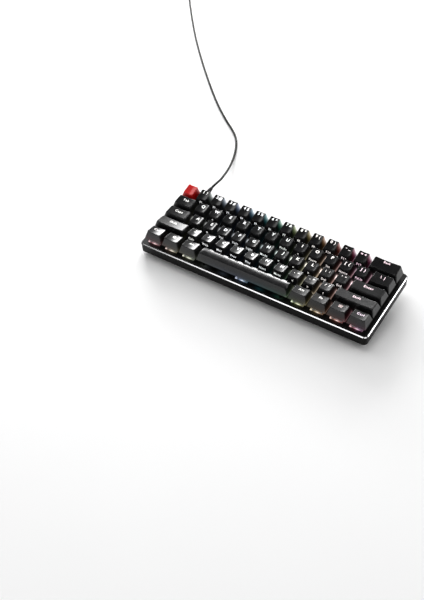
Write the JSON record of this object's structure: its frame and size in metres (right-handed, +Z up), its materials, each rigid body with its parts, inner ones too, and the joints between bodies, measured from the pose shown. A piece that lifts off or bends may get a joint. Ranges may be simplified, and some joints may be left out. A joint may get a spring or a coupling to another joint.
{
  "type": "mechanical keyboard",
  "caption": "Compact low-case mechanical computer keyboard with a black metal plate, standing keycaps, flip-out feet and a thin cable with a plug.",
  "frame": {"origin": "middle of the keyboard's footprint, on the table it stands on", "axes": "+X to the right along the rows of keys, +Y from the space bar to the back, +Z up; the board is tilted back edge up by 6.85 degrees on its opened feet"},
  "size_m": [0.6286, 0.6681, 0.045],
  "materials": {
    "anodised_plate": "black anodised, fine satin, with a polished bare chamfer",
    "case_plastic": "fine moulded texture",
    "keycap_black": "satin moulded",
    "keycap_red": "translucent, polished",
    "circuit_laminate": "solder mask over glass laminate",
    "switch_nylon": "moulded",
    "switch_clear": "clear moulded",
    "spring_steel": "bright wire",
    "light_lens": "milky lens",
    "wire_steel": "bright wire",
    "chip_epoxy": "moulded epoxy",
    "plug_metal": "nickel plated",
    "screw_steel": "black oxide",
    "foot_rubber": "matt",
    "cable_moulding": "satin moulded",
    "cable_sleeve": "fine braided sleeve",
    "tie_strap": "woven hook-and-loop strap"
  },
  "bodies": {
    "root": {"top_plate": "anodised_plate", "bottom_case": "case_plastic", "circuit_board": "circuit_laminate", "switch_bottom_housings": "switch_nylon", "switch_top_housings": "switch_clear", "hot_swap_sockets": "switch_nylon", "switch_springs": "spring_steel", "key_lights": "light_lens", "stabiliser_housings": "switch_nylon", "controller_chip": "chip_epoxy", "cable_socket": "plug_metal", "plate_screws": "screw_steel", "rubber_feet": "foot_rubber", "cable_boot": "cable_moulding", "usb_cable": "cable_sleeve", "usb_cable_coil": "cable_sleeve", "cable_tie": "tie_strap", "usb_plug_body": "cable_moulding", "usb_plug_shell": "plug_metal"},
    "key_escape": {"key_escape": "keycap_red"},
    "keys_1_2_3": {"keys_1_2_3": "keycap_black"},
    "keys_4_5": {"keys_4_5": "keycap_black"},
    "keys_6_7": {"keys_6_7": "keycap_black"},
    "keys_8_9": {"keys_8_9": "keycap_black"},
    "keys_0_minus_equals": {"keys_0_minus_equals": "keycap_black"},
    "key_backspace": {"key_backspace": "keycap_black"},
    "key_tab": {"key_tab": "keycap_black"},
    "keys_q_w_e": {"keys_q_w_e": "keycap_black"},
    "keys_r_t": {"keys_r_t": "keycap_black"},
    "keys_y_u": {"keys_y_u": "keycap_black"},
    "keys_i_o": {"keys_i_o": "keycap_black"},
    "keys_p_brackets": {"keys_p_brackets": "keycap_black"},
    "key_backslash": {"key_backslash": "keycap_black"},
    "key_caps_lock": {"key_caps_lock": "keycap_black"},
    "keys_a_s_d": {"keys_a_s_d": "keycap_black"},
    "keys_f_g_h": {"keys_f_g_h": "keycap_black"},
    "keys_j_k_l": {"keys_j_k_l": "keycap_black"},
    "keys_semicolon_quote": {"keys_semicolon_quote": "keycap_black"},
    "key_enter": {"key_enter": "keycap_black"},
    "key_left_shift": {"key_left_shift": "keycap_black"},
    "keys_z_x_c": {"keys_z_x_c": "keycap_black"},
    "keys_v_b": {"keys_v_b": "keycap_black"},
    "keys_n_m": {"keys_n_m": "keycap_black"},
    "keys_comma_period_slash": {"keys_comma_period_slash": "keycap_black"},
    "key_right_shift": {"key_right_shift": "keycap_black"},
    "key_left_ctrl": {"key_left_ctrl": "keycap_black"},
    "key_left_super": {"key_left_super": "keycap_black"},
    "key_left_alt": {"key_left_alt": "keycap_black"},
    "key_space": {"key_space": "keycap_black"},
    "key_right_alt": {"key_right_alt": "keycap_black"},
    "key_function": {"key_function": "keycap_black"},
    "key_menu": {"key_menu": "keycap_black"},
    "key_right_ctrl": {"key_right_ctrl": "keycap_black"},
    "wire_backspace": {"wire_backspace": "wire_steel"},
    "wire_enter": {"wire_enter": "wire_steel"},
    "wire_left_shift": {"wire_left_shift": "wire_steel"},
    "wire_right_shift": {"wire_right_shift": "wire_steel"},
    "wire_space": {"wire_space": "wire_steel"},
    "left_flip_foot": {"left_flip_foot": "case_plastic"},
    "right_flip_foot": {"right_flip_foot": "case_plastic"}
  },
  "joints": [
    {"name": "key_escape_press", "type": "slide", "parent": "root", "child": "key_escape", "axis": [0, 0.1193, -0.9929], "range_m": [0, 0.004], "stiffness_N_per_m": 90, "springref_m": -0.0035},
    {"name": "keys_1_2_3_press", "type": "slide", "parent": "root", "child": "keys_1_2_3", "axis": [0, 0.1193, -0.9929], "range_m": [0, 0.004], "stiffness_N_per_m": 270, "springref_m": -0.0035},
    {"name": "keys_4_5_press", "type": "slide", "parent": "root", "child": "keys_4_5", "axis": [0, 0.1193, -0.9929], "range_m": [0, 0.004], "stiffness_N_per_m": 180, "springref_m": -0.0035},
    {"name": "keys_6_7_press", "type": "slide", "parent": "root", "child": "keys_6_7", "axis": [0, 0.1193, -0.9929], "range_m": [0, 0.004], "stiffness_N_per_m": 180, "springref_m": -0.0035},
    {"name": "keys_8_9_press", "type": "slide", "parent": "root", "child": "keys_8_9", "axis": [0, 0.1193, -0.9929], "range_m": [0, 0.004], "stiffness_N_per_m": 180, "springref_m": -0.0035},
    {"name": "keys_0_minus_equals_press", "type": "slide", "parent": "root", "child": "keys_0_minus_equals", "axis": [0, 0.1193, -0.9929], "range_m": [0, 0.004], "stiffness_N_per_m": 270, "springref_m": -0.0035},
    {"name": "key_backspace_press", "type": "slide", "parent": "root", "child": "key_backspace", "axis": [0, 0.1193, -0.9929], "range_m": [0, 0.004], "stiffness_N_per_m": 90, "springref_m": -0.0035},
    {"name": "key_tab_press", "type": "slide", "parent": "root", "child": "key_tab", "axis": [0, 0.1193, -0.9929], "range_m": [0, 0.004], "stiffness_N_per_m": 90, "springref_m": -0.0035},
    {"name": "keys_q_w_e_press", "type": "slide", "parent": "root", "child": "keys_q_w_e", "axis": [0, 0.1193, -0.9929], "range_m": [0, 0.004], "stiffness_N_per_m": 270, "springref_m": -0.0035},
    {"name": "keys_r_t_press", "type": "slide", "parent": "root", "child": "keys_r_t", "axis": [0, 0.1193, -0.9929], "range_m": [0, 0.004], "stiffness_N_per_m": 180, "springref_m": -0.0035},
    {"name": "keys_y_u_press", "type": "slide", "parent": "root", "child": "keys_y_u", "axis": [0, 0.1193, -0.9929], "range_m": [0, 0.004], "stiffness_N_per_m": 180, "springref_m": -0.0035},
    {"name": "keys_i_o_press", "type": "slide", "parent": "root", "child": "keys_i_o", "axis": [0, 0.1193, -0.9929], "range_m": [0, 0.004], "stiffness_N_per_m": 180, "springref_m": -0.0035},
    {"name": "keys_p_brackets_press", "type": "slide", "parent": "root", "child": "keys_p_brackets", "axis": [0, 0.1193, -0.9929], "range_m": [0, 0.004], "stiffness_N_per_m": 270, "springref_m": -0.0035},
    {"name": "key_backslash_press", "type": "slide", "parent": "root", "child": "key_backslash", "axis": [0, 0.1193, -0.9929], "range_m": [0, 0.004], "stiffness_N_per_m": 90, "springref_m": -0.0035},
    {"name": "key_caps_lock_press", "type": "slide", "parent": "root", "child": "key_caps_lock", "axis": [0, 0.1193, -0.9929], "range_m": [0, 0.004], "stiffness_N_per_m": 90, "springref_m": -0.0035},
    {"name": "keys_a_s_d_press", "type": "slide", "parent": "root", "child": "keys_a_s_d", "axis": [0, 0.1193, -0.9929], "range_m": [0, 0.004], "stiffness_N_per_m": 270, "springref_m": -0.0035},
    {"name": "keys_f_g_h_press", "type": "slide", "parent": "root", "child": "keys_f_g_h", "axis": [0, 0.1193, -0.9929], "range_m": [0, 0.004], "stiffness_N_per_m": 270, "springref_m": -0.0035},
    {"name": "keys_j_k_l_press", "type": "slide", "parent": "root", "child": "keys_j_k_l", "axis": [0, 0.1193, -0.9929], "range_m": [0, 0.004], "stiffness_N_per_m": 270, "springref_m": -0.0035},
    {"name": "keys_semicolon_quote_press", "type": "slide", "parent": "root", "child": "keys_semicolon_quote", "axis": [0, 0.1193, -0.9929], "range_m": [0, 0.004], "stiffness_N_per_m": 180, "springref_m": -0.0035},
    {"name": "key_enter_press", "type": "slide", "parent": "root", "child": "key_enter", "axis": [0, 0.1193, -0.9929], "range_m": [0, 0.004], "stiffness_N_per_m": 90, "springref_m": -0.0035},
    {"name": "key_left_shift_press", "type": "slide", "parent": "root", "child": "key_left_shift", "axis": [0, 0.1193, -0.9929], "range_m": [0, 0.004], "stiffness_N_per_m": 90, "springref_m": -0.0035},
    {"name": "keys_z_x_c_press", "type": "slide", "parent": "root", "child": "keys_z_x_c", "axis": [0, 0.1193, -0.9929], "range_m": [0, 0.004], "stiffness_N_per_m": 270, "springref_m": -0.0035},
    {"name": "keys_v_b_press", "type": "slide", "parent": "root", "child": "keys_v_b", "axis": [0, 0.1193, -0.9929], "range_m": [0, 0.004], "stiffness_N_per_m": 180, "springref_m": -0.0035},
    {"name": "keys_n_m_press", "type": "slide", "parent": "root", "child": "keys_n_m", "axis": [0, 0.1193, -0.9929], "range_m": [0, 0.004], "stiffness_N_per_m": 180, "springref_m": -0.0035},
    {"name": "keys_comma_period_slash_press", "type": "slide", "parent": "root", "child": "keys_comma_period_slash", "axis": [0, 0.1193, -0.9929], "range_m": [0, 0.004], "stiffness_N_per_m": 270, "springref_m": -0.0035},
    {"name": "key_right_shift_press", "type": "slide", "parent": "root", "child": "key_right_shift", "axis": [0, 0.1193, -0.9929], "range_m": [0, 0.004], "stiffness_N_per_m": 90, "springref_m": -0.0035},
    {"name": "key_left_ctrl_press", "type": "slide", "parent": "root", "child": "key_left_ctrl", "axis": [0, 0.1193, -0.9929], "range_m": [0, 0.004], "stiffness_N_per_m": 90, "springref_m": -0.0035},
    {"name": "key_left_super_press", "type": "slide", "parent": "root", "child": "key_left_super", "axis": [0, 0.1193, -0.9929], "range_m": [0, 0.004], "stiffness_N_per_m": 90, "springref_m": -0.0035},
    {"name": "key_left_alt_press", "type": "slide", "parent": "root", "child": "key_left_alt", "axis": [0, 0.1193, -0.9929], "range_m": [0, 0.004], "stiffness_N_per_m": 90, "springref_m": -0.0035},
    {"name": "key_space_press", "type": "slide", "parent": "root", "child": "key_space", "axis": [0, 0.1193, -0.9929], "range_m": [0, 0.004], "stiffness_N_per_m": 90, "springref_m": -0.0035},
    {"name": "key_right_alt_press", "type": "slide", "parent": "root", "child": "key_right_alt", "axis": [0, 0.1193, -0.9929], "range_m": [0, 0.004], "stiffness_N_per_m": 90, "springref_m": -0.0035},
    {"name": "key_function_press", "type": "slide", "parent": "root", "child": "key_function", "axis": [0, 0.1193, -0.9929], "range_m": [0, 0.004], "stiffness_N_per_m": 90, "springref_m": -0.0035},
    {"name": "key_menu_press", "type": "slide", "parent": "root", "child": "key_menu", "axis": [0, 0.1193, -0.9929], "range_m": [0, 0.004], "stiffness_N_per_m": 90, "springref_m": -0.0035},
    {"name": "key_right_ctrl_press", "type": "slide", "parent": "root", "child": "key_right_ctrl", "axis": [0, 0.1193, -0.9929], "range_m": [0, 0.004], "stiffness_N_per_m": 90, "springref_m": -0.0035},
    {"name": "wire_backspace_turn", "type": "hinge", "parent": "root", "child": "wire_backspace", "pos_m": [0.12383, 0.02913, 0.02292], "axis": [1, 0, 0], "range_deg": [-24, 0]},
    {"name": "wire_enter_turn", "type": "hinge", "parent": "root", "child": "wire_enter", "pos_m": [0.12144, -0.0087, 0.01837], "axis": [1, 0, 0], "range_deg": [-24, 0]},
    {"name": "wire_left_shift_turn", "type": "hinge", "parent": "root", "child": "wire_left_shift", "pos_m": [-0.12144, -0.02761, 0.0161], "axis": [1, 0, 0], "range_deg": [-24, 0]},
    {"name": "wire_right_shift_turn", "type": "hinge", "parent": "root", "child": "wire_right_shift", "pos_m": [0.11668, -0.02761, 0.0161], "axis": [1, 0, 0], "range_deg": [-24, 0]},
    {"name": "wire_space_turn", "type": "hinge", "parent": "root", "child": "wire_space", "pos_m": [-0.01191, -0.04653, 0.01383], "axis": [1, 0, 0], "range_deg": [-24, 0]},
    {"name": "left_flip_foot_fold", "type": "hinge", "parent": "root", "child": "left_flip_foot", "pos_m": [-0.098, 0.04061, 0.01452], "axis": [1, 0, 0], "range_deg": [-90, 0]},
    {"name": "right_flip_foot_fold", "type": "hinge", "parent": "root", "child": "right_flip_foot", "pos_m": [0.098, 0.04061, 0.01452], "axis": [1, 0, 0], "range_deg": [-90, 0]}
  ],
  "couplings": [
    {"joint": "wire_backspace_turn", "follows": "key_backspace_press", "rad_per_m": -103.62},
    {"joint": "wire_enter_turn", "follows": "key_enter_press", "rad_per_m": -103.62},
    {"joint": "wire_left_shift_turn", "follows": "key_left_shift_press", "rad_per_m": -103.62},
    {"joint": "wire_right_shift_turn", "follows": "key_right_shift_press", "rad_per_m": -103.62},
    {"joint": "wire_space_turn", "follows": "key_space_press", "rad_per_m": -103.62}
  ]
}
